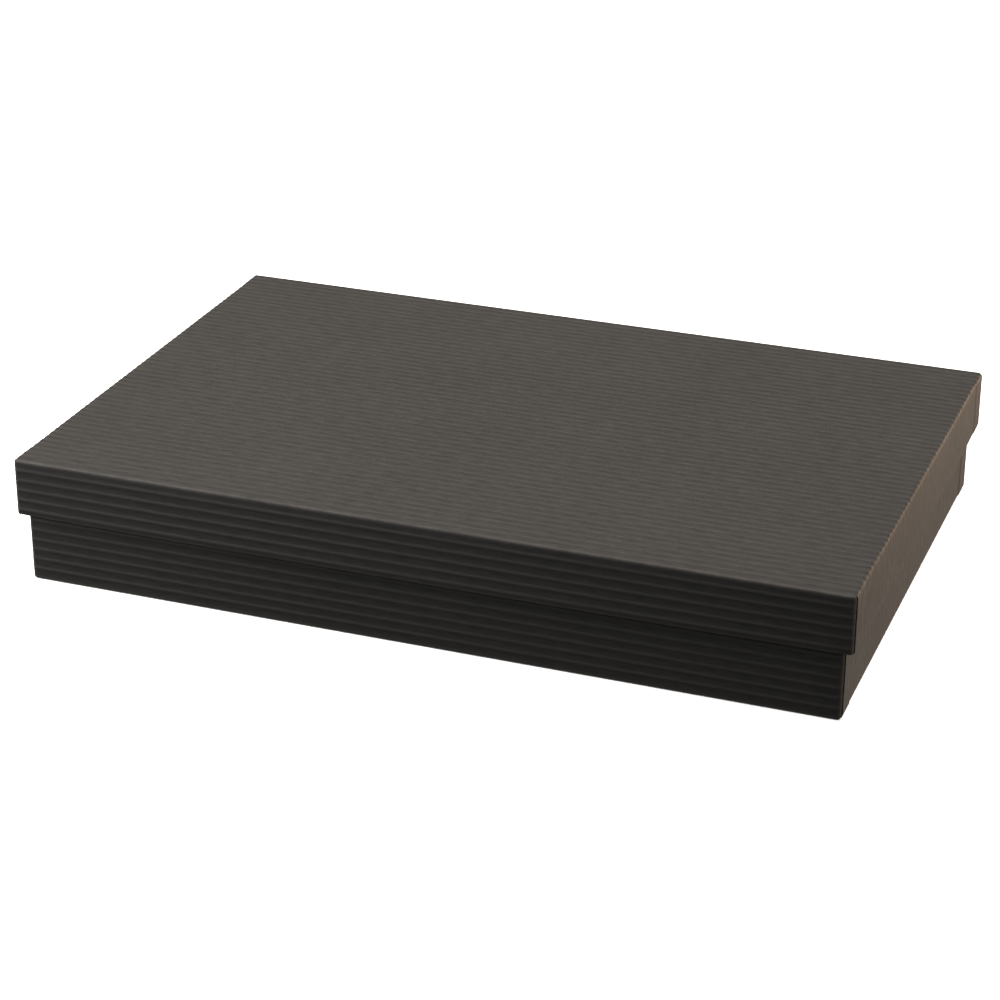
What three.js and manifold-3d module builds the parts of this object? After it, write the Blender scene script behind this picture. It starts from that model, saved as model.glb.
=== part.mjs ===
// Two-piece rigid gift box with a telescoping lid, closed.
// Millimetres, +Z up. The origin is under the middle of the base, on the surface it stands on.
// X runs along the long sides and Y across them.
//
// The walls are built in layers, from outside to inside: covering paper, corner stays,
// board, lining paper, and the covering paper again where it is turned in over the rim.
// The lid is laid out upside down, as a tray of its own, and is then turned over.

import * as THREE from "three";
import { mergeVertices } from "three/addons/utils/BufferGeometryUtils.js";
import Module from "manifold-3d";

const wasm = await Module();
wasm.setup();

// Driving dimensions
const LID_LENGTH = 330;
const LID_WIDTH = 220;
const CLOSED_HEIGHT = 51.5;
const SKIRT_DEPTH = 23.2;
const END_INSET = 3.5; // base end face behind the lid's end face
const SIDE_INSET = 2.7; // base side face behind the lid's side face
const BOARD = 1.4;
const COVER = 0.25;
const STAY = 0.15;
const LINING = 0.1;
const GLUE = 0.05; // film between two bonded layers
const SEAT_GAP = 0.1; // between the base's rim and the underside of the lid
const CORNER_RADIUS = 1.6; // outside of the covering paper, at the upright corners
const CORNER_STEPS = 5; // facets in a quarter turn
const BASE_TURN_IN = 18; // covering paper folded down inside the rim
const LID_TURN_IN = 15;
const STAY_LEG = 14;
const STAY_END_GAP = 0.6; // stay stops this short of the board's rim and of its folded edge
const STAY_DEPTH_BASE = 43;
const STAY_DEPTH_LID = 18;

// Worked out from the driving dimensions
const LAYERS_TO_STAY = COVER + GLUE;
const LAYERS_TO_BOARD = LAYERS_TO_STAY + STAY + GLUE;
const LAYERS_TO_LINING = LAYERS_TO_BOARD + BOARD + GLUE;
const LAYERS_TO_TURN_IN = LAYERS_TO_LINING + LINING + GLUE;
const FLOOR_TO_BOARD = COVER + GLUE;
const FLOOR_TO_LINING = FLOOR_TO_BOARD + BOARD + GLUE;
const FLOOR_THICKNESS = FLOOR_TO_LINING + LINING;
const BASE_HEIGHT = CLOSED_HEIGHT - FLOOR_THICKNESS - SEAT_GAP;

const base = {
  length: LID_LENGTH - 2 * END_INSET,
  width: LID_WIDTH - 2 * SIDE_INSET,
  height: BASE_HEIGHT,
  turnIn: BASE_TURN_IN,
  stayDepth: STAY_DEPTH_BASE,
};

const lid = {
  length: LID_LENGTH,
  width: LID_WIDTH,
  height: SKIRT_DEPTH,
  turnIn: LID_TURN_IN,
  stayDepth: STAY_DEPTH_LID,
};

const paint = {
  board: { color: 0x8d867c, roughness: 0.92, metalness: 0 },
  cover: { color: 0x2c2a29, roughness: 0.62, metalness: 0 },
  stay: { color: 0xb59b74, roughness: 0.85, metalness: 0 },
  lining: { color: 0x262423, roughness: 0.85, metalness: 0 },
};

// A closed three.js geometry as a manifold solid
function solid(geometry) {
  const bare = geometry.index ? geometry.toNonIndexed() : geometry.clone();
  bare.deleteAttribute("normal");
  bare.deleteAttribute("uv");
  const merged = mergeVertices(bare, 1e-4);
  return new wasm.Manifold(
    new wasm.Mesh({
      numProp: 3,
      vertProperties: new Float32Array(merged.attributes.position.array),
      triVerts: new Uint32Array(merged.index.array),
    })
  );
}

// A manifold solid back as a three.js geometry
function geometryOf(body) {
  const mesh = body.getMesh();
  const geometry = new THREE.BufferGeometry();
  geometry.setAttribute("position", new THREE.BufferAttribute(mesh.vertProperties, 3));
  geometry.setIndex(new THREE.BufferAttribute(mesh.triVerts, 1));
  return geometry;
}

// Rectangle about the origin with its four corners turned on arcs
function roundedRectangle(length, width, radius) {
  const x = length / 2;
  const y = width / 2;
  const r = Math.max(radius, 0.1);
  const outline = new THREE.Shape();
  outline.absarc(x - r, y - r, r, 0, Math.PI / 2);
  outline.absarc(-x + r, y - r, r, Math.PI / 2, Math.PI);
  outline.absarc(-x + r, -y + r, r, Math.PI, 1.5 * Math.PI);
  outline.absarc(x - r, -y + r, r, 1.5 * Math.PI, 2 * Math.PI);
  return outline;
}

// Upright block over the tray's outline, moved inwards by inset, from one height to another
function block(tray, inset, from, to) {
  const outline = roundedRectangle(
    tray.length - 2 * inset,
    tray.width - 2 * inset,
    CORNER_RADIUS - inset
  );
  const geometry = new THREE.ExtrudeGeometry(outline, {
    depth: to - from,
    bevelEnabled: false,
    curveSegments: CORNER_STEPS,
  });
  geometry.translate(0, 0, from);
  return solid(geometry);
}

// Open tray: a floor and four walls of one thickness
function openTray(tray, inset, thickness, from, to) {
  const outside = block(tray, inset, from, to);
  const inside = block(tray, inset + thickness, from + thickness, to + 1);
  return outside.subtract(inside);
}

// Grey board, cut and folded up from one blank
function board(tray) {
  return openTray(tray, LAYERS_TO_BOARD, BOARD, FLOOR_TO_BOARD, tray.height - COVER - GLUE);
}

// Lining paper on the inside of the floor and walls
function lining(tray) {
  return openTray(tray, LAYERS_TO_LINING, LINING, FLOOR_TO_LINING, tray.height - COVER - GLUE);
}

// Covering paper: floor, outside of the walls, over the rim and down the inside
function cover(tray) {
  const lowEdge = tray.height - tray.turnIn;
  const whole = block(tray, 0, 0, tray.height);
  const belowTurnIn = block(tray, COVER, COVER, lowEdge);
  const middle = block(tray, LAYERS_TO_TURN_IN + COVER, lowEdge - 1, tray.height + 1);
  const wallPocket = block(tray, COVER, lowEdge - 1, tray.height - COVER);
  const pocketCore = block(tray, LAYERS_TO_TURN_IN, lowEdge - 2, tray.height);
  const pocket = wallPocket.subtract(pocketCore);
  return whole.subtract(belowTurnIn).subtract(pocket).subtract(middle);
}

// Paper stay round the outside of the board's corner at +X, +Y
function cornerStay(tray) {
  const depth = tray.stayDepth;
  const top = tray.height - COVER - GLUE - STAY_END_GAP;
  const outside = block(tray, LAYERS_TO_STAY, top - depth, top);
  const inside = block(tray, LAYERS_TO_STAY + STAY, top - depth - 1, top + 1);
  const window = new THREE.BoxGeometry(2 * STAY_LEG, 2 * STAY_LEG, depth + 2);
  window.translate(
    tray.length / 2 - LAYERS_TO_STAY,
    tray.width / 2 - LAYERS_TO_STAY,
    top - depth / 2
  );
  return outside.subtract(inside).intersect(solid(window));
}

// The same stay at another corner of the tray
function mirroredStay(tray, signX, signY) {
  const body = cornerStay(tray);
  const acrossX = signX < 0 ? body.mirror([1, 0, 0]) : body;
  return signY < 0 ? acrossX.mirror([0, 1, 0]) : acrossX;
}

function part(name, body, finish) {
  const mesh = new THREE.Mesh(geometryOf(body), new THREE.MeshStandardMaterial(finish));
  mesh.name = name;
  return mesh;
}

// Every piece of one tray, under names that start with the tray's own name
function wrappedTray(prefix, tray, sides) {
  const group = new THREE.Group();
  group.add(part(`${prefix}_board`, board(tray), paint.board));
  for (const [side, signY] of sides) {
    for (const [end, signX] of [["left", -1], ["right", 1]]) {
      const name = `${prefix}_corner_stay_${side}_${end}`;
      group.add(part(name, mirroredStay(tray, signX, signY), paint.stay));
    }
  }
  group.add(part(`${prefix}_cover`, cover(tray), paint.cover));
  group.add(part(`${prefix}_lining`, lining(tray), paint.lining));
  return group;
}

const giftBox = new THREE.Group();
giftBox.add(wrappedTray("base", base, [["front", -1], ["back", 1]]));

// Turning the lid over about X brings its far side to the front
const lidGroup = wrappedTray("lid", lid, [["front", 1], ["back", -1]]);
lidGroup.rotation.x = Math.PI;
lidGroup.position.z = CLOSED_HEIGHT;
giftBox.add(lidGroup);

export default giftBox;
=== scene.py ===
"""Gift box: a shallow base tray and a lid that telescopes over it, both covered in ribbed paper.

Every length is in metres in the frame's own axes: X along the long sides, Y across, Z up.
A tray is worked out floor down with its open side up. The lid's points are then turned over.
"""

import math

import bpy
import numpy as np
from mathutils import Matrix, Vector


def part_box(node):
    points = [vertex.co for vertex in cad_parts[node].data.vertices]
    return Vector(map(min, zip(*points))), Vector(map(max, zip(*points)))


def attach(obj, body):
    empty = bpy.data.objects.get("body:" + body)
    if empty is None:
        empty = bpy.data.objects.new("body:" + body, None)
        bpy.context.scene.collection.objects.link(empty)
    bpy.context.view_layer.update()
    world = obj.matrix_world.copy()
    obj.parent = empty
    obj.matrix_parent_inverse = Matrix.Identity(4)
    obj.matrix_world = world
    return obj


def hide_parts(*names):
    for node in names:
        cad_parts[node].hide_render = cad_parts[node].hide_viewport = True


bl_info = {
    "name": "Covered Gift Box",
    "version": (1, 0, 0),
    "blender": (4, 5, 0),
    "location": "3D View > Sidebar > Gift Box",
    "description": "Builds the papers, boards and stage of a two-piece rigid gift box",
    "category": "Object",
}

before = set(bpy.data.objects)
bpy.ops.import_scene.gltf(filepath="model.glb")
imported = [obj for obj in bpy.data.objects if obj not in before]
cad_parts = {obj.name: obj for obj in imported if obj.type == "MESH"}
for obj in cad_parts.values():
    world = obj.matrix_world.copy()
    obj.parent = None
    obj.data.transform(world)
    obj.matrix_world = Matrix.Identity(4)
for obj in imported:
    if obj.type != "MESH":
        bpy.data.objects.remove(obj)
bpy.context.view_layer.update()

MM = 0.001
QUARTER_TURN = math.pi / 2
WHITE = (1.0, 1.0, 1.0)

# Small gaps and margins.
EAR_GAP = 0.03 * MM
FLOOR_GAP = 0.1 * MM
MERGE_DISTANCE = 0.002 * MM
RIB_MARGIN = 0.12 * MM
STAY_MARGIN = 0.6 * MM
SAME_PLACE = 1e-9

# The lid's flare begins this far inside a wall, is full this far inside it, and falls off towards the
# corners with this power of the distance from the middle.
FLARE_BEGINS = 12 * MM
FLARE_FULL = 4 * MM
FLARE_POWER = 3

# The turn-ins: how far an end's stops short of the side walls, how steeply it then narrows, and how far a
# side's stops short of the end walls.
CUT_BACK = 0.3 * MM
CUT_SLANT = 0.35
SIDE_CLEARANCE = 0.1 * MM

# Radii of the inside folds of the linings and the lid's board, the scuffing and painted highlight of the
# ends' bottom folds, and how far from the middle of the rim's outer fold the scuffing and painted highlight
# reach, in radii of the fold.
LINING_FOLD = 0.6 * MM
BOARD_FOLD = 0.3 * MM
END_FOLD_SCUFF_AND_HIGHLIGHT = 0.2
RIM_SCUFF_AND_HIGHLIGHT_REACH = 1.5

# Points along each stretch of paper and board, both ends counted.
FLOOR_COLUMNS = 35
END_FOLD_POINTS = 7
SIDE_FOLD_POINTS = 9
WALL_POINTS = 4
RIM_FOLD_POINTS = 4
RIM_FLAT_POINTS = 3
TURN_IN_POINTS = 3
CORNER_POINTS = 7
EAR_POINTS = 4
SHELL_CORNER_POINTS = 6
SHELL_FOLD_POINTS = 5
SHELL_WALL_POINTS = 6
STAY_LEG_POINTS = 3
STAY_RISE_POINTS = 5

# Steps along a straight side of a lining or board, and the rings on its floor as shares of its outline.
SHELL_SIDE_STEPS = 12
SHELL_RINGS = (0.0, 0.35, 0.65, 0.85, 0.95)

# The stage: the floor's half size, each panel's width and height and its place, the right panel's warm
# tint, and the point that all three face.
FLOOR_HALF_SIZE = 6.0
OVERHEAD_SIZE = (2.2, 1.8)
OVERHEAD_PLACE = (0.0, 0.05, 1.6)
LEFT_SIZE = (0.3, 0.3)
LEFT_PLACE = (-0.45, -0.42, 0.3)
RIGHT_SIZE = (0.5, 0.06)
RIGHT_PLACE = (0.5, 0.45, 0.035)
RIGHT_TINT = (1.0, 0.68, 0.44)
PANELS_FACE = (0.0, 0.0, 0.02)


# ---------------------------------------------------------------- sizes and colours


def length(name, description, default):
    """A length property in metres."""
    return bpy.props.FloatProperty(
        name=name, description=description, default=default, subtype="DISTANCE", unit="LENGTH", precision=5
    )


def share(name, description, default):
    """A property between 0 and 1."""
    return bpy.props.FloatProperty(
        name=name, description=description, default=default, min=0.0, max=1.0, subtype="FACTOR"
    )


def colour(name, description, default):
    """A linear colour property."""
    return bpy.props.FloatVectorProperty(
        name=name, description=description, default=default, size=3, min=0.0, max=1.0, subtype="COLOR"
    )


def angle(name, description, degrees):
    """An angle property, with its default given in degrees."""
    return bpy.props.FloatProperty(
        name=name, description=description, default=math.radians(degrees), subtype="ANGLE", unit="ROTATION"
    )


def number(name, description, default):
    """A plain number, such as a light's power in watts."""
    return bpy.props.FloatProperty(name=name, description=description, default=default)


class PaperSizes(bpy.types.PropertyGroup):
    """Sizes of the covering paper, its ribs and its folds, and of the layers under it."""

    rib_pitch: length("Rib pitch", "From one rib's crest to the next", 4.1 * MM)
    rib_relief: length("Rib relief", "Height of a crest over the flat between ribs", 0.24 * MM)
    end_rib_share: share("End ribs", "Share of the relief left on the end flaps", 0.12)
    rib_half_width: share("Rib half width", "Half of a rib's width as a share of the pitch", 0.27)
    rib_phase_base: share("Rib phase, base", "Where the base's ribs fall, as a share of the pitch", 0.77)
    rib_phase_lid: share("Rib phase, lid", "Where the lid's ribs fall, as a share of the pitch", 0.71)
    cover: length("Covering paper", "Thickness of the covering paper", 0.25 * MM)
    lining: length("Lining paper", "Thickness of the lining paper", 0.1 * MM)
    board: length("Board", "Thickness of the board", 1.4 * MM)
    stay: length("Corner stay", "Thickness of a corner stay", 0.15 * MM)
    glue: length("Glue", "Film between two bonded layers", 0.05 * MM)
    edge_radius: length("Edge radius", "Outside radius of every folded edge and corner", 1.7 * MM)
    rim_radius: length("Rim radius", "Radius of the paper's two folds over the rim", 0.5 * MM)
    base_turn_in: length("Base turn-in", "Paper folded down inside the base's rim", 18.0 * MM)
    lid_turn_in: length("Lid turn-in", "Paper folded up inside the lid's rim", 15.0 * MM)
    ear: length("Ear", "Paper of a long side that passes round the corner under the end flap", 12.0 * MM)
    stay_leg: length("Stay leg", "Length of a corner stay on each side of its corner", 14.0 * MM)
    side_flare: length("Side flare", "How far the lid's long sides stand out at mid length", 1.0 * MM)
    end_flare: length("End flare", "How far the lid's ends stand out at mid width", 0.9 * MM)


class PaperColours(bpy.types.PropertyGroup):
    """Colours of the papers and the board."""

    flat: colour("Flats", "Ribbed paper between its ribs", (0.0102, 0.0096, 0.0092))
    # The paler crest colour is partly the paper's own stripe and partly a painted highlight on the crests,
    # with painted shade on the flats between them.
    crest: colour("Rib crests", "Crests of the ribbed paper, paler and more matt", (0.0205, 0.0195, 0.0186))
    # This colour is partly scuffing and partly a painted highlight along the folds, the rim and the
    # corners.
    worn_and_highlit: colour("Worn edges", "Where the folded paper is rubbed", (0.075, 0.066, 0.058))
    lining: colour("Lining paper", "Smooth paper inside both trays", (0.017, 0.016, 0.015))
    board: colour("Board", "Grey board under the paper", (0.27, 0.24, 0.21))
    tape: colour("Corner stays", "Gummed kraft tape", (0.46, 0.33, 0.18))


class StageLook(bpy.types.PropertyGroup):
    """The floor, the lights and the camera."""

    floor: colour("Floor", "The pale floor", (0.9, 0.9, 0.9))
    floor_glow: number("Floor glow", "Strength of the light that the floor gives off", 0.6)
    back_room: colour("Room behind", "Light that comes from behind the box", (1.52, 1.32, 1.12))
    front_room: colour("Room in front", "Light that comes from in front of the box", (0.14, 0.14, 0.14))
    below: share("Light from below", "Share of the light from behind left below the horizon", 0.5)
    overhead: number("Overhead", "Power of the overhead panel", 42.0)
    left: number("Left", "Power of the panel on the left", 5.2)
    right: number("Right", "Power of the panel on the right", 2.3)
    lens: number("Lens", "Focal length in millimetres", 98.94)
    aim: bpy.props.FloatVectorProperty(
        name="Camera aim",
        description="The point the camera looks at",
        default=(-0.0043, -0.0065, 0.0158),
        size=3,
        subtype="TRANSLATION",
        unit="LENGTH",
    )
    distance: length("Camera distance", "From the camera to the point it looks at", 1.104)
    azimuth: angle("Camera azimuth", "Round to the right of the box's front", 20.26)
    elevation: angle("Camera elevation", "Above the horizon", 24.88)
    roll: angle("Camera roll", "Turn of the camera about its own line of sight", 0.18)


# ---------------------------------------------------------------- the trays


class Tray:
    """Outside measures of one covered tray, floor down, taken from its CAD nodes."""

    def __init__(self, name, sizes):
        low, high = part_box(f"{name}_cover")
        lining_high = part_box(f"{name}_lining")[1]
        lining_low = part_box(f"{name}_lining")[0]
        self.turned = name == "lid"
        self.half_length = (high.x - low.x) / 2
        self.half_width = (high.y - low.y) / 2
        self.height = high.z - low.z
        self.bottom = low.z
        self.top = high.z
        self.wall = high.x - lining_high.x + sizes.lining + sizes.glue + sizes.cover
        lining_floor = high.z - lining_high.z if self.turned else lining_low.z - low.z
        self.floor = lining_floor + sizes.lining
        self.edge = sizes.edge_radius
        self.rim = sizes.rim_radius
        self.turn_in = sizes.lid_turn_in if self.turned else sizes.base_turn_in
        self.side_flare = sizes.side_flare if self.turned else 0.0
        self.end_flare = sizes.end_flare if self.turned else 0.0
        self.rib_phase = sizes.rib_phase_lid if self.turned else sizes.rib_phase_base

    def place(self, points):
        """Tray points in the frame: the lid's are turned half round X and flared, the base's are upright.

        The base's own weight presses the ribs under it flat.
        """
        if not self.turned:
            return np.column_stack([points[:, :2], np.maximum(points[:, 2], 0.0) + self.bottom])
        return self.flared(points * np.array([1.0, -1.0, -1.0]) + np.array([0.0, 0.0, self.top]))

    def flared(self, points):
        """Walls leant outwards: the shift grows evenly down the wall and falls off towards the corners."""
        x, y, z = points.T
        drop = (self.top - z) / self.height
        across = smooth_step(np.abs(y), self.half_width - FLARE_BEGINS, self.half_width - FLARE_FULL)
        along = smooth_step(np.abs(x), self.half_length - FLARE_BEGINS, self.half_length - FLARE_FULL)
        side = self.side_flare * drop * across * (1 - np.abs(x / self.half_length) ** FLARE_POWER)
        end = self.end_flare * drop * along * (1 - np.abs(y / self.half_width) ** FLARE_POWER)
        return np.column_stack([x + np.sign(x) * end, y + np.sign(y) * side, z])


def smooth_step(value, low, high):
    """0 below low, 1 above high and an S curve between them."""
    t = np.clip((value - low) / (high - low), 0.0, 1.0)
    return t * t * (3 - 2 * t)


def rib_height(across, phase, sizes):
    """Height of the ribs at a place across them: a cosine-squared crest, flat between crests.

    It is measured from the sheet's own middle surface, so crests stand out and flats lie a little in.
    """
    turn = across / sizes.rib_pitch - phase
    from_crest = np.abs(turn - np.round(turn))
    crest = np.cos(QUARTER_TURN * np.clip(from_crest / sizes.rib_half_width, 0.0, 1.0)) ** 2
    return sizes.rib_relief * (crest - 0.5)


def rib_samples(low, high, phase, sizes):
    """Places between low and high that follow the ribs: seven over each crest and one between crests."""
    w = sizes.rib_half_width
    offsets = np.array([-w, -w * 2 / 3, -w / 3, 0.0, w / 3, w * 2 / 3, w, 0.5])
    first = math.floor(low / sizes.rib_pitch - phase) - 1
    last = math.ceil(high / sizes.rib_pitch - phase) + 1
    turns = np.arange(first, last + 1)[:, None] + offsets[None, :] + phase
    places = np.sort(turns.ravel()) * sizes.rib_pitch
    inside = places[(places > low + RIB_MARGIN) & (places < high - RIB_MARGIN)]
    return np.concatenate([[low], inside, [high]])


def fold_lengths(tray):
    """Where each stretch of a flap ends, along the paper from the floor's edge to the turn-in's edge.

    The stretches are the bottom fold, the wall, the rim's outer fold, the rim's flat, the rim's
    inner fold and the turn-in.
    """
    stretches = [
        tray.edge * QUARTER_TURN,
        tray.height - tray.edge - tray.rim,
        tray.rim * QUARTER_TURN,
        tray.wall - 2 * tray.rim,
        tray.rim * QUARTER_TURN,
        tray.turn_in - tray.rim,
    ]
    return np.cumsum(stretches)


def flap_path(s, tray):
    """Section of a flap at the distances s along the paper.

    It is a quarter circle, a straight wall, a quarter circle, the flat rim, a quarter circle and the
    straight turn-in. Gives the inset from the wall's outside, the height, and the outward normal.
    """
    ends = fold_lengths(tray)
    low_turn = s / tray.edge
    rim_out = (s - ends[1]) / tray.rim
    rim_in = (s - ends[3]) / tray.rim
    stretch = [s <= ends[0], s <= ends[1], s <= ends[2], s <= ends[3], s <= ends[4]]
    zero = np.zeros_like(s)
    one = np.ones_like(s)
    inset = np.select(
        stretch,
        [
            tray.edge * (1 - np.sin(low_turn)),
            zero,
            tray.rim * (1 - np.cos(rim_out)),
            tray.rim + s - ends[2],
            tray.wall - tray.rim + tray.rim * np.sin(rim_in),
        ],
        tray.wall,
    )
    rise = np.select(
        stretch,
        [
            tray.edge * (1 - np.cos(low_turn)),
            tray.edge + s - ends[0],
            tray.height - tray.rim + tray.rim * np.sin(rim_out),
            tray.height * one,
            tray.height - tray.rim + tray.rim * np.cos(rim_in),
        ],
        tray.height - tray.rim - (s - ends[4]),
    )
    out = np.select(stretch, [np.sin(low_turn), one, np.cos(rim_out), zero, -np.sin(rim_in)], -1.0)
    up = np.select(stretch, [-np.cos(low_turn), zero, np.sin(rim_out), one, np.cos(rim_in)], 0.0)
    return inset, rise, out, up


def rim_scuff_and_highlight(s, ends, tray):
    """Scuffing and painted highlight of the rim: full along the middle of its outer fold, and falling
    evenly to none.
    """
    middle = (ends[1] + ends[2]) / 2
    return 1 - np.clip(np.abs(s - middle) / (RIM_SCUFF_AND_HIGHLIGHT_REACH * tray.rim), 0.0, 1.0)


def lattice_faces(rows, columns, keep=None, flip=False):
    """Quads of a grid of points stored row by row. keep marks the cells that are wanted."""
    corner = np.arange(rows - 1)[:, None] * columns + np.arange(columns - 1)[None, :]
    if keep is not None:
        corner = corner[keep]
    corner = corner.ravel()
    quads = np.column_stack([corner, corner + 1, corner + columns + 1, corner + columns])
    return quads[:, ::-1] if flip else quads


def make_piece(name, points, faces, uv, values=None):
    """A smooth mesh object at the origin from arrays of points and quads.

    Points that coincide are merged, and faces that vanish with them are dropped. uv holds a pair of
    sheet coordinates for each point, and values holds named numbers for each point.
    """
    keys = np.round(points / MERGE_DISTANCE).astype(np.int64)
    first, merged = np.unique(keys, axis=0, return_index=True, return_inverse=True)[1:]
    merged = merged.reshape(-1)
    corners = merged[faces]
    distinct = np.roll(corners, 1, axis=1) != corners
    whole = distinct.sum(axis=1) >= 3
    corners = corners[whole]
    source = faces[whole]
    distinct = distinct[whole]
    lists = [row[kept].tolist() for row, kept in zip(corners, distinct)]
    mesh = bpy.data.meshes.new(name)
    mesh.from_pydata(points[first].tolist(), [], lists)
    layer = mesh.uv_layers.new(name="sheet")
    layer.data.foreach_set("uv", uv[source[distinct]].astype(np.float32).ravel())
    for label, numbers in (values or {}).items():
        attribute = mesh.attributes.new(label, "FLOAT", "POINT")
        attribute.data.foreach_set("value", numbers[first].astype(np.float32))
    mesh.polygons.foreach_set("use_smooth", np.ones(len(mesh.polygons), bool))
    mesh.update()
    piece = bpy.data.objects.new(name, mesh)
    bpy.context.scene.collection.objects.link(piece)
    return piece


def thicken(piece, thickness, outward=False):
    """Gives a sheet its thickness, away from the side that its faces look to."""
    solidify = piece.modifiers.new("Paper thickness", "SOLIDIFY")
    solidify.thickness = thickness
    solidify.offset = -1.0
    solidify.use_even_offset = outward
    return piece


# ---------------------------------------------------------------- covering paper


def floor_and_end_flaps(tray, sizes):
    """Points of the sheet's middle strip: the floor and the two end flaps beyond it.

    Rows follow the ribs from front to back. Columns run along X over the floor, and then along the
    flap's section at each end. The ribs stand out along the section's normal. Over the ears an end
    flap lies one paper further out than between them, and its turn-in is cut narrower at a slant. Rows
    past the cut are moved onto it, ribs and all, so that they merge there.
    """
    ends = fold_lengths(tray)
    reach = tray.half_width - tray.edge
    across = rib_samples(-reach, reach, tray.rib_phase, sizes)
    middle = np.linspace(-1, 1, FLOOR_COLUMNS) * (tray.half_length - tray.edge)
    s = np.concatenate(
        [
            np.linspace(0, ends[0], END_FOLD_POINTS)[1:],
            np.linspace(ends[0], ends[1], WALL_POINTS)[1:],
            np.linspace(ends[1], ends[2], RIM_FOLD_POINTS)[1:],
            [ends[3]],
            np.linspace(ends[3], ends[4], RIM_FOLD_POINTS)[1:],
            np.linspace(ends[4], ends[5], TURN_IN_POINTS)[1:],
        ]
    )
    inset, rise, out, up = flap_path(s, tray)
    x_flap = tray.half_length - inset
    u_flap = tray.half_length - tray.edge + s
    zero = np.zeros_like(middle)
    x = np.concatenate([-x_flap[::-1], middle, x_flap])
    z = np.concatenate([rise[::-1], zero, rise])
    normal_x = np.concatenate([-out[::-1], zero, out])
    normal_z = np.concatenate([up[::-1], zero - 1, up])
    u = np.concatenate([-u_flap[::-1], middle, u_flap])
    on_flap = np.concatenate([s[::-1], zero, s])
    narrow = smooth_step(on_flap, ends[3], ends[4]) * (tray.wall - tray.edge + CUT_BACK)
    slant = np.clip(on_flap - ends[4], 0, None) * CUT_SLANT
    widest = reach - narrow - slant
    on_wall = smooth_step(on_flap, 0, ends[0]) * (1 - smooth_step(on_flap, ends[1], ends[2]))
    y = np.clip(across[:, None], -widest[None, :], widest[None, :])
    over_ear = smooth_step(np.abs(y), tray.half_width - sizes.ear - MM, tray.half_width - sizes.ear)
    pressed = (1 - sizes.end_rib_share) * smooth_step(on_flap, 0, ends[0])
    rib = rib_height(y, tray.rib_phase, sizes) * (1 - pressed)[None, :]
    out_by = (sizes.cover + EAR_GAP) * on_wall[None, :] * over_ear + rib
    points = np.stack(
        [x[None, :] + out_by * normal_x[None, :], y, z[None, :] + out_by * normal_z[None, :]], axis=-1
    )
    uv = np.stack(np.broadcast_arrays(u[None, :], y), axis=-1)
    # The folds and the rim get scuffing and a painted highlight; the ends' bottom folds get only a fifth of
    # it.
    bend = 1 - np.abs(2 * np.clip(on_flap / ends[0], 0, 1) - 1)
    rim = rim_scuff_and_highlight(on_flap, ends, tray)
    wear_and_highlight = np.broadcast_to(np.maximum(END_FOLD_SCUFF_AND_HIGHLIGHT * bend, rim)[None, :], out_by.shape)
    pressed = np.broadcast_to(pressed[None, :], out_by.shape)
    faces = lattice_faces(len(across), len(x), flip=True)
    return points.reshape(-1, 3), uv.reshape(-1, 2), wear_and_highlight.ravel(), pressed.ravel(), faces


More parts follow.
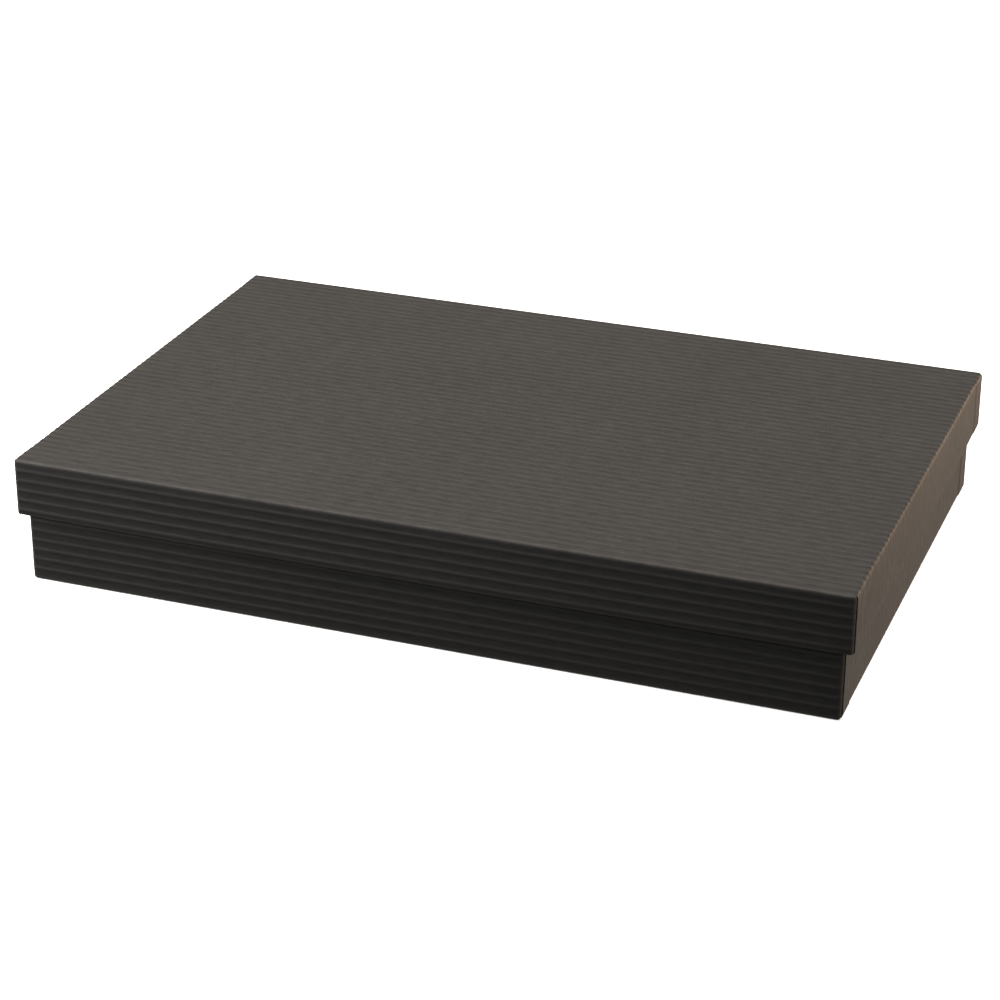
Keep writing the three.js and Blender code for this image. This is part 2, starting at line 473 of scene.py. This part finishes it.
def side_flap(tray, sizes, side):
    """Points of one long side's flap, with an ear round each upright corner.

    Rows follow the flap's section. Columns run along X, round each corner on a quarter circle and
    along the ear. Its ribs fade as it turns the corner, because the end flap presses the ear flat.
    """
    ends = fold_lengths(tray)
    start = tray.half_width - tray.edge
    wall = rib_samples(start + ends[0], start + ends[1], side * tray.rib_phase, sizes) - start
    turn_in = rib_samples(start + ends[4], start + ends[5], side * tray.rib_phase, sizes) - start
    s = np.unique(
        np.concatenate(
            [
                np.linspace(0, ends[0], SIDE_FOLD_POINTS),
                wall,
                np.linspace(ends[1], ends[2], RIM_FOLD_POINTS),
                np.linspace(ends[2], ends[3], RIM_FLAT_POINTS),
                np.linspace(ends[3], ends[4], RIM_FOLD_POINTS),
                turn_in,
            ]
        )
    )
    inset, rise, out, up = (a[:, None] for a in flap_path(s, tray))
    rib = rib_height(start + s, side * tray.rib_phase, sizes)[:, None]
    corner_x = tray.half_length - tray.edge
    corner_y = tray.half_width - tray.edge
    turn = np.linspace(0, QUARTER_TURN, CORNER_POINTS)[1:]
    ear = np.linspace(0, sizes.ear - tray.edge, EAR_POINTS)[1:]
    middle = np.linspace(-1, 1, FLOOR_COLUMNS) * corner_x
    beyond = np.ones(len(turn) + len(ear))
    square = np.full(len(ear), QUARTER_TURN)
    angle_at = np.concatenate([square, turn[::-1], np.zeros(len(middle)), turn, square])
    sign = np.concatenate([-beyond, np.sign(middle), beyond])
    along_ear = np.concatenate([ear[::-1], np.zeros(len(angle_at) - 2 * len(ear)), ear])
    base_x = np.concatenate([-beyond * corner_x, middle, beyond * corner_x])
    pressed = np.sin(angle_at)[None, :] ** 2
    rib = rib * (1 - pressed)
    on_middle = np.broadcast_to(angle_at == 0, rib.shape)
    radius = np.where(on_middle, tray.edge - inset, np.clip(tray.edge - inset, 0, None)) + rib * out
    x_limit = np.where(s[:, None] > ends[3], tray.half_length - tray.wall - SIDE_CLEARANCE, corner_x)
    x = np.clip(base_x, -x_limit, x_limit) + sign * radius * np.sin(angle_at)
    y = corner_y + radius * np.cos(angle_at) - along_ear
    z = rise + rib * up
    points = np.stack([x, side * y, z], axis=-1)
    run = np.abs(base_x) + tray.edge * angle_at + along_ear
    u = np.broadcast_to(sign * run, rib.shape)
    v = np.broadcast_to(side * (start + s)[:, None], rib.shape)
    uv = np.stack([u, v], axis=-1)
    # The bottom fold, the rim and the upright corners get scuffing and a painted highlight.
    bend = 1 - np.abs(2 * np.clip(s / ends[0], 0, 1) - 1)
    rim = rim_scuff_and_highlight(s, ends, tray)
    corner = np.sin(2 * angle_at)
    wear_and_highlight = np.maximum(np.maximum(bend, rim)[:, None], corner[None, :])
    pressed = np.broadcast_to(pressed, rib.shape)
    cell_s = s[:-1][:, None]
    at_corner = np.maximum(angle_at[:-1], angle_at[1:])[None, :] > 0
    on_ear = np.maximum(along_ear[:-1], along_ear[1:])[None, :] > 0
    past_rim = at_corner & (cell_s >= ends[3] - SAME_PLACE)
    off_wall = on_ear & ((cell_s >= ends[1] - SAME_PLACE) | (cell_s < ends[0] - SAME_PLACE))
    keep = ~past_rim & ~off_wall
    faces = lattice_faces(len(s), len(base_x), keep, flip=side > 0)
    return points.reshape(-1, 3), uv.reshape(-1, 2), wear_and_highlight.ravel(), pressed.ravel(), faces


def cover_piece(name, tray, sizes):
    """The whole covering sheet of a tray as one piece, with the paper's thickness."""
    parts = [floor_and_end_flaps(tray, sizes), side_flap(tray, sizes, -1), side_flap(tray, sizes, 1)]
    shift = np.cumsum([0] + [len(part[0]) for part in parts[:-1]])
    points = np.concatenate([part[0] for part in parts])
    uv = np.concatenate([part[1] for part in parts]) / sizes.rib_pitch - np.array([0.0, tray.rib_phase])
    # Each part's third array carries scuffing and a painted highlight along the folds, the rim and the
    # corners.
    wear_and_highlight = np.concatenate([part[2] for part in parts])
    pressed = np.concatenate([part[3] for part in parts])
    faces = np.concatenate([part[4] + offset for part, offset in zip(parts, shift)])
    piece = make_piece(name, tray.place(points), faces, uv, {"wear_and_highlight": wear_and_highlight, "pressed": pressed})
    return thicken(piece, sizes.cover)


# ---------------------------------------------------------------- lining, board and stays


def rounded_outline(half_length, half_width, radius):
    """Corner centres and outward directions round a rectangle, each corner on a quarter circle."""
    turns = np.linspace(0, QUARTER_TURN, SHELL_CORNER_POINTS)
    angles = np.concatenate([turns + corner * QUARTER_TURN for corner in range(4)])
    signs = np.repeat([[1, 1], [-1, 1], [-1, -1], [1, -1]], SHELL_CORNER_POINTS, axis=0)
    centres = signs * np.array([half_length - radius, half_width - radius])
    return centres, np.column_stack([np.cos(angles), np.sin(angles)])


def inner_shell(tray, inset, floor, top, fold):
    """Points of a tray's inside face: rings from the middle of the floor out to the fold and up the wall.

    A ring on the floor is the outline at the fold drawn towards the middle. The fold is a quarter
    circle, and the wall is straight and is divided so that it can follow the flare.
    """
    half_length = tray.half_length - inset
    half_width = tray.half_width - inset
    centres, directions = rounded_outline(half_length, half_width, fold)
    parts = []
    for first, second in zip(range(len(centres)), list(range(1, len(centres))) + [0]):
        steps = SHELL_SIDE_STEPS if np.abs(centres[first] - centres[second]).max() > SAME_PLACE else 1
        share_along = np.arange(steps)[:, None] / steps
        parts.append(
            np.hstack(
                [
                    centres[first] + (centres[second] - centres[first]) * share_along,
                    directions[first] + (directions[second] - directions[first]) * share_along,
                ]
            )
        )
    ring = np.concatenate(parts)
    centre, direction = ring[:, :2], ring[:, 2:]
    drawn = np.array(SHELL_RINGS)
    turns = np.linspace(0, QUARTER_TURN, SHELL_FOLD_POINTS)
    rise = np.linspace(fold, top - floor, SHELL_WALL_POINTS)[1:]
    grow = np.concatenate([drawn, np.ones(len(turns) + len(rise))])
    radius = np.concatenate([np.zeros(len(drawn)), fold * np.sin(turns), np.full(len(rise), fold)])
    height = np.concatenate([np.zeros(len(drawn)), fold * (1 - np.cos(turns)), rise]) + floor
    xy = centre[None] * grow[:, None, None] + direction[None] * radius[:, None, None]
    xy = np.concatenate([xy, xy[:, :1]], axis=1)
    z = np.broadcast_to(height[:, None, None], xy.shape[:2] + (1,))
    points = np.concatenate([xy, z], axis=2)
    faces = lattice_faces(points.shape[0], points.shape[1], flip=True)
    uv = points[:, :, :2] + np.sign(xy) * (z - floor)
    return points.reshape(-1, 3), faces, uv.reshape(-1, 2)


def shell_piece(name, tray, inset, floor, top, fold, thickness):
    """A lining or a board as one piece: its inside face, thickened outwards."""
    points, faces, uv = inner_shell(tray, inset, floor, top, fold)
    return thicken(make_piece(name, tray.place(points), faces, uv), thickness, outward=True)


def stay_piece(name, tray, sizes, sign_x, side):
    """A paper stay round one upright corner: two legs joined by a quarter circle, carried up the wall."""
    inset = sizes.cover + sizes.glue
    radius = tray.edge - inset
    corner = np.array([tray.half_length - tray.edge, tray.half_width - tray.edge])
    turns = np.linspace(0, QUARTER_TURN, CORNER_POINTS)
    leg = np.linspace(sizes.stay_leg - tray.edge, 0, STAY_LEG_POINTS)[:-1]
    arc = corner + radius * np.column_stack([np.sin(turns), np.cos(turns)])
    side_leg = np.column_stack([corner[0] - leg, np.full(len(leg), corner[1] + radius)])
    end_leg = np.column_stack([np.full(len(leg), corner[0] + radius), corner[1] - leg[::-1]])
    path = np.concatenate([side_leg, arc, end_leg]) * np.array([sign_x, side])
    rise = np.linspace(tray.edge + STAY_MARGIN, tray.height - inset - STAY_MARGIN, STAY_RISE_POINTS)
    xy = np.broadcast_to(path[None], (len(rise),) + path.shape)
    z = np.broadcast_to(rise[:, None, None], xy.shape[:2] + (1,))
    points = np.concatenate([xy, z], axis=2)
    uv = np.stack(np.broadcast_arrays(path[None, :, 0] - path[None, :, 1], rise[:, None]), axis=-1)
    faces = lattice_faces(len(rise), len(path), flip=sign_x * side < 0)
    piece = make_piece(name, tray.place(points.reshape(-1, 3)), faces[:, ::-1], uv.reshape(-1, 2))
    return thicken(piece, sizes.stay)


# ---------------------------------------------------------------- materials


class Nodes:
    """Short hand for building a material's node tree."""

    def __init__(self, name):
        self.material = bpy.data.materials.new(name)
        self.material.use_nodes = True
        self.tree = self.material.node_tree
        self.shader = self.tree.nodes["Principled BSDF"]

    def add(self, kind, settings=None, **inputs):
        """A node with its settings, and its inputs linked or set by name."""
        node = self.tree.nodes.new(kind)
        for key, value in (settings or {}).items():
            setattr(node, key, value)
        for key, value in inputs.items():
            self.feed(node.inputs[key.replace("_", " ")], value)
        return node

    def feed(self, socket, value):
        """Links a socket to another, or sets it."""
        if isinstance(value, bpy.types.NodeSocket):
            self.tree.links.new(value, socket)
        else:
            socket.default_value = value

    def math(self, operation, first, second):
        """A Math node's value."""
        node = self.add("ShaderNodeMath", {"operation": operation})
        for socket, value in zip(node.inputs, (first, second)):
            self.feed(socket, value)
        return node.outputs[0]

    def weighted(self, *terms):
        """The sum of some values, each given with its weight."""
        products = [self.math("MULTIPLY", value, weight) for value, weight in terms]
        total = products[0]
        for product in products[1:]:
            total = self.math("ADD", total, product)
        return total

    def attribute(self, name):
        """A number stored on the mesh's points."""
        return self.add("ShaderNodeAttribute", {"attribute_name": name}).outputs["Fac"]

    def mix(self, amount, first, second):
        """A colour between two colours."""
        node = self.add("ShaderNodeMix", {"data_type": "RGBA"})
        self.feed(node.inputs["Factor"], amount)
        self.feed(node.inputs["A"], first)
        self.feed(node.inputs["B"], second)
        return node.outputs["Result"]

    def ramp(self, value, low, high, to_low=0.0, to_high=1.0):
        """A value carried from one range to another, and held at its ends."""
        node = self.add("ShaderNodeMapRange")
        for socket, number in zip(node.inputs, (value, low, high, to_low, to_high)):
            self.feed(socket, number)
        return node.outputs[0]

    def noise(self, where, scale, detail=3.0, roughness=0.5):
        """Noise between 0 and 1 at a place."""
        node = self.add("ShaderNodeTexNoise", Vector=where, Scale=scale, Detail=detail, Roughness=roughness)
        return node.outputs["Fac"]

    def stretched(self, where, scale):
        """A place scaled by a different amount along each axis."""
        return self.add("ShaderNodeMapping", Vector=where, Scale=scale).outputs["Vector"]


def rgba(value):
    """A linear colour with full alpha."""
    return (*value, 1.0)


def ribbed_paper(colours, sizes):
    """Dark ribbed paper: paler, slightly duller crests, fibres along the ribs, and scuffed folds with a
    painted highlight.

    Its sheet coordinates are counted in ribs, so a whole number across them is a crest. The paler crest
    colour is partly the paper's own stripe and partly a painted highlight, with painted shade on the flats
    between crests. A crest's colour fades where its rib is pressed flat. Fibres, specks and soft clouds
    vary the flats.
    """
    n = Nodes("ribbed_paper_finish")
    sheet = n.add("ShaderNodeUVMap", {"uv_map": "sheet"}).outputs["UV"]
    across = n.add("ShaderNodeSeparateXYZ", Vector=sheet).outputs["Y"]
    from_crest = n.math("PINGPONG", across, 0.5)
    standing = n.math("SUBTRACT", 1.0, n.attribute("pressed"))
    # Paler crests: partly the paper's own stripe, partly a painted highlight on the crests and painted
    # shade between them.
    crest = n.math("MULTIPLY", n.ramp(from_crest, low=sizes.rib_half_width * 0.8, high=0.04), standing)
    place = n.add("ShaderNodeTexCoord").outputs["Object"]
    cloud = n.noise(place, scale=22.0, detail=3.0)
    fibre = n.noise(n.stretched(sheet, (0.6, 2.8, 1.0)), scale=1.0, detail=3.0, roughness=0.65)
    speck = n.noise(n.stretched(sheet, (4.0, 9.0, 1.0)), scale=4.0, detail=2.0, roughness=0.7)
    tone = n.weighted((fibre, 0.65), (speck, 0.2), (cloud, 0.15))
    pale = rgba([c * 1.7 for c in colours.flat])
    flat = n.mix(n.ramp(tone, low=0.38, high=0.62), rgba(colours.flat), pale)
    patchy = n.ramp(fibre, low=0.3, high=0.7, to_low=0.6, to_high=1.0)
    ribbed = n.mix(n.math("MULTIPLY", crest, patchy), flat, rgba(colours.crest))
    # Scuffing and a painted highlight on the folds, the rim and the corners, broken up by noise.
    scuffs = n.noise(place, scale=160.0, detail=4.0, roughness=0.65)
    scuff_breakup = n.ramp(scuffs, low=0.3, high=0.7, to_low=0.35, to_high=1.0)
    worn_and_highlit = n.math("POWER", n.attribute("wear_and_highlight"), 1.5)
    scuffed_and_highlit = n.math("MULTIPLY", n.math("MULTIPLY", worn_and_highlit, scuff_breakup), 0.6)
    n.feed(n.shader.inputs["Base Color"], n.mix(scuffed_and_highlit, ribbed, rgba(colours.worn_and_highlit)))
    dull = n.ramp(tone, low=0.38, high=0.62, to_low=0.64, to_high=0.54)
    n.feed(n.shader.inputs["Roughness"], n.math("ADD", dull, n.math("MULTIPLY", crest, 0.03)))
    n.shader.inputs["IOR"].default_value = 1.25
    relief = n.weighted((fibre, 0.8), (speck, 0.2))
    bump = n.add("ShaderNodeBump", Strength=0.6, Distance=0.12 * MM, Height=relief)
    n.feed(n.shader.inputs["Normal"], bump.outputs["Normal"])
    return n.material


def plain_paper(name, tint, roughness):
    """Smooth uncoated paper: soft clouding and a fine tooth."""
    n = Nodes(name)
    place = n.add("ShaderNodeTexCoord").outputs["Object"]
    cloud = n.noise(place, scale=30.0, detail=4.0)
    tooth = n.noise(place, scale=1800.0, detail=3.0, roughness=0.6)
    tone = n.ramp(n.weighted((cloud, 0.6), (tooth, 0.4)), low=0.35, high=0.65)
    dark = rgba([c * 0.85 for c in tint])
    pale = rgba([c * 1.2 for c in tint])
    n.feed(n.shader.inputs["Base Color"], n.mix(tone, dark, pale))
    dull = n.ramp(cloud, low=0.3, high=0.7, to_low=roughness + 0.04, to_high=roughness - 0.04)
    n.feed(n.shader.inputs["Roughness"], dull)
    bump = n.add("ShaderNodeBump", Strength=0.3, Distance=0.05 * MM, Height=tooth)
    n.feed(n.shader.inputs["Normal"], bump.outputs["Normal"])
    return n.material


def grey_board(colours):
    """Pressed grey board: dull, with darker and paler fibres."""
    n = Nodes("greyboard_finish")
    place = n.add("ShaderNodeTexCoord").outputs["Object"]
    fibre = n.noise(n.stretched(place, (1.0, 2.5, 2.5)), scale=700.0, detail=4.0, roughness=0.65)
    cloud = n.noise(place, scale=45.0, detail=3.0)
    tone = n.ramp(n.weighted((fibre, 0.7), (cloud, 0.3)), low=0.35, high=0.65)
    dark = rgba([c * 0.72 for c in colours.board])
    pale = rgba([c * 1.18 for c in colours.board])
    n.feed(n.shader.inputs["Base Color"], n.mix(tone, dark, pale))
    n.feed(n.shader.inputs["Roughness"], n.ramp(fibre, low=0.3, high=0.7, to_low=0.95, to_high=0.86))
    bump = n.add("ShaderNodeBump", Strength=0.5, Distance=0.1 * MM, Height=fibre)
    n.feed(n.shader.inputs["Normal"], bump.outputs["Normal"])
    return n.material


def material_for(slot):
    """The one material of a slot, made when it is first asked for."""
    colours = bpy.context.scene.gift_box_colours
    sizes = bpy.context.scene.gift_box_sizes
    found = bpy.data.materials.get(f"{slot}_finish")
    if found is not None:
        return found
    makers = {
        "ribbed_paper": lambda: ribbed_paper(colours, sizes),
        "lining_paper": lambda: plain_paper("lining_paper_finish", colours.lining, roughness=0.72),
        "kraft_tape": lambda: plain_paper("kraft_tape_finish", colours.tape, roughness=0.6),
        "greyboard": lambda: grey_board(colours),
    }
    return makers[slot]()


def finish_piece(piece, body, slot, *nodes):
    """Gives a piece its material, its body and the CAD nodes that it stands for."""
    piece.data.materials.append(material_for(slot))
    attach(piece, body)
    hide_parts(*nodes)


def repaint(node, slot):
    """Puts a slot's material on a CAD node that stays as it is."""
    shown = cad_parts[node]
    for material_slot in shown.material_slots:
        material_slot.material = material_for(slot)


# ---------------------------------------------------------------- operators


class GIFTBOX_OT_covers(bpy.types.Operator):
    """Make the covering papers of the base and the lid"""

    bl_idname = "gift_box.covers"
    bl_label = "Covering papers"

    def execute(self, context):
        sizes = context.scene.gift_box_sizes
        for name in ("base", "lid"):
            piece = cover_piece(f"{name}_cover_paper", Tray(name, sizes), sizes)
            finish_piece(piece, name, "ribbed_paper", f"{name}_cover")
        return {"FINISHED"}


class GIFTBOX_OT_linings(bpy.types.Operator):
    """Make the lining papers inside the base and the lid"""

    bl_idname = "gift_box.linings"
    bl_label = "Lining papers"

    def execute(self, context):
        sizes = context.scene.gift_box_sizes
        for name in ("base", "lid"):
            tray = Tray(name, sizes)
            inset = tray.wall - sizes.cover - sizes.glue
            top = tray.height - sizes.cover - sizes.glue
            paper = f"{name}_lining_paper"
            piece = shell_piece(paper, tray, inset, tray.floor, top, LINING_FOLD, sizes.lining)
            finish_piece(piece, name, "lining_paper", f"{name}_lining")
        return {"FINISHED"}


class GIFTBOX_OT_lid_board(bpy.types.Operator):
    """Make the lid's board, which leans outwards with its paper, and finish the base's board"""

    bl_idname = "gift_box.lid_board"
    bl_label = "Boards"

    def execute(self, context):
        sizes = context.scene.gift_box_sizes
        tray = Tray("lid", sizes)
        inset = tray.wall - sizes.cover - 2 * sizes.glue - sizes.lining
        floor = tray.floor - sizes.lining - sizes.glue
        top = tray.height - sizes.cover - sizes.glue
        piece = shell_piece("lid_board_tray", tray, inset, floor, top, BOARD_FOLD, sizes.board)
        finish_piece(piece, "lid", "greyboard", "lid_board")
        repaint("base_board", "greyboard")
        return {"FINISHED"}


class GIFTBOX_OT_corner_stays(bpy.types.Operator):
    """Make the lid's four corner stays and finish the base's"""

    bl_idname = "gift_box.corner_stays"
    bl_label = "Corner stays"

    def execute(self, context):
        sizes = context.scene.gift_box_sizes
        tray = Tray("lid", sizes)
        for side_name, side in (("front", 1), ("back", -1)):
            for end_name, sign_x in (("left", -1), ("right", 1)):
                corner = f"corner_stay_{side_name}_{end_name}"
                piece = stay_piece(f"lid_{corner}_strip", tray, sizes, sign_x, side)
                finish_piece(piece, "lid", "kraft_tape", f"lid_{corner}")
                repaint(f"base_{corner}", "kraft_tape")
        return {"FINISHED"}


class GIFTBOX_OT_stage(bpy.types.Operator):
    """Make the floor, the lights and the camera"""

    bl_idname = "gift_box.stage"
    bl_label = "Stage"

    def execute(self, context):
        look = context.scene.gift_box_stage
        make_floor(look)
        make_lights(look)
        make_camera(look)
        return {"FINISHED"}


def make_floor(look):
    """A large pale floor, a hair under the box so that the two never share a surface."""
    n = Nodes("pale_floor")
    n.shader.inputs["Base Color"].default_value = rgba(look.floor)
    n.shader.inputs["Roughness"].default_value = 0.9
    n.shader.inputs["Specular IOR Level"].default_value = 0.1
    n.shader.inputs["Emission Color"].default_value = rgba(look.floor)
    n.shader.inputs["Emission Strength"].default_value = look.floor_glow
    corners = np.array([[-1, -1], [1, -1], [1, 1], [-1, 1]]) * FLOOR_HALF_SIZE
    mesh = bpy.data.meshes.new("floor")
    mesh.from_pydata([(x, y, -FLOOR_GAP) for x, y in corners], [], [(0, 1, 2, 3)])
    mesh.materials.append(n.material)
    floor = bpy.data.objects.new("floor", mesh)
    bpy.context.scene.collection.objects.link(floor)
    floor.visible_diffuse = False
    floor.visible_glossy = False


def panel_light(name, power, size, place, tint=WHITE):
    """A soft rectangular panel that faces the box."""
    data = bpy.data.lights.new(name, "AREA")
    data.shape = "RECTANGLE"
    data.size, data.size_y = size
    data.energy = power
    data.color = tint
    light = bpy.data.objects.new(name, data)
    light.location = place
    light.rotation_euler = (Vector(PANELS_FACE) - Vector(place)).to_track_quat("-Z", "Y").to_euler()
    bpy.context.scene.collection.objects.link(light)
    return light


def make_lights(look):
    """A room that is bright behind the box and dark in front, and soft panels overhead, left and right.

    The room's light goes from the front colour to the back colour with the direction's Y, and less of
    the back colour is left below the horizon. The right panel stands low, so it mostly lights the walls.
    """
    world = bpy.data.worlds.new("room")
    world.use_nodes = True
    n = world.node_tree
    direction = n.nodes.new("ShaderNodeTexCoord")
    parts = n.nodes.new("ShaderNodeSeparateXYZ")
    amount = n.nodes.new("ShaderNodeMapRange")
    amount.interpolation_type = "SMOOTHSTEP"
    amount.inputs["From Min"].default_value = -0.5
    amount.inputs["From Max"].default_value = 0.5
    above = n.nodes.new("ShaderNodeMapRange")
    above.interpolation_type = "SMOOTHSTEP"
    above.inputs["From Min"].default_value = -0.6
    above.inputs["From Max"].default_value = 0.1
    above.inputs["To Min"].default_value = look.below
    both = n.nodes.new("ShaderNodeMath")
    both.operation = "MULTIPLY"
    mix = n.nodes.new("ShaderNodeMix")
    mix.data_type = "RGBA"
    mix.inputs["A"].default_value = rgba(look.front_room)
    mix.inputs["B"].default_value = rgba(look.back_room)
    n.links.new(direction.outputs["Generated"], parts.inputs["Vector"])
    n.links.new(parts.outputs["Y"], amount.inputs["Value"])
    n.links.new(parts.outputs["Z"], above.inputs["Value"])
    n.links.new(amount.outputs["Result"], both.inputs[0])
    n.links.new(above.outputs["Result"], both.inputs[1])
    n.links.new(both.outputs["Value"], mix.inputs["Factor"])
    n.links.new(mix.outputs["Result"], n.nodes["Background"].inputs["Color"])
    bpy.context.scene.world = world
    panel_light("overhead_panel", look.overhead, OVERHEAD_SIZE, OVERHEAD_PLACE)
    panel_light("left_panel", look.left, LEFT_SIZE, LEFT_PLACE)
    panel_light("right_panel", look.right, RIGHT_SIZE, RIGHT_PLACE, RIGHT_TINT)


def make_camera(look):
    """A camera on a sphere round its target, turned by its azimuth, elevation and roll."""
    data = bpy.data.cameras.new("camera")
    data.lens = look.lens
    data.sensor_width = 36.0
    data.clip_end = 50.0
    back = Vector(
        (
            math.sin(look.azimuth) * math.cos(look.elevation),
            -math.cos(look.azimuth) * math.cos(look.elevation),
            math.sin(look.elevation),
        )
    )
    camera = bpy.data.objects.new("camera", data)
    aim = (-back).to_track_quat("-Z", "Y").to_matrix() @ Matrix.Rotation(look.roll, 3, "Z")
    camera.rotation_euler = aim.to_euler()
    camera.location = Vector(look.aim) + back * look.distance
    bpy.context.scene.collection.objects.link(camera)
    bpy.context.scene.camera = camera


class GIFTBOX_PT_panel(bpy.types.Panel):
    """Lists the steps that build the gift box"""

    bl_idname = "GIFTBOX_PT_panel"
    bl_label = "Gift Box"
    bl_space_type = "VIEW_3D"
    bl_region_type = "UI"
    bl_category = "Gift Box"

    def draw(self, context):
        column = self.layout.column()
        scene = context.scene
        for group in (scene.gift_box_sizes, scene.gift_box_colours, scene.gift_box_stage):
            for name in group.__annotations__:
                column.prop(group, name)
        for operator in OPERATORS:
            column.operator(operator.bl_idname)


OPERATORS = (
    GIFTBOX_OT_covers,
    GIFTBOX_OT_linings,
    GIFTBOX_OT_lid_board,
    GIFTBOX_OT_corner_stays,
    GIFTBOX_OT_stage,
)
GROUPS = {"gift_box_sizes": PaperSizes, "gift_box_colours": PaperColours, "gift_box_stage": StageLook}


def register():
    for group in GROUPS.values():
        bpy.utils.register_class(group)
    for name, group in GROUPS.items():
        setattr(bpy.types.Scene, name, bpy.props.PointerProperty(type=group))
    for operator in OPERATORS:
        bpy.utils.register_class(operator)
    bpy.utils.register_class(GIFTBOX_PT_panel)


def unregister():
    bpy.utils.unregister_class(GIFTBOX_PT_panel)
    for operator in reversed(OPERATORS):
        bpy.utils.unregister_class(operator)
    for name in GROUPS:
        delattr(bpy.types.Scene, name)
    for group in GROUPS.values():
        bpy.utils.unregister_class(group)


def main():
    """Builds everything."""
    register()
    bpy.context.scene.view_settings.view_transform = "Standard"
    bpy.ops.gift_box.covers()
    bpy.ops.gift_box.linings()
    bpy.ops.gift_box.lid_board()
    bpy.ops.gift_box.corner_stays()
    bpy.ops.gift_box.stage()


if __name__ == "__main__":
    main()
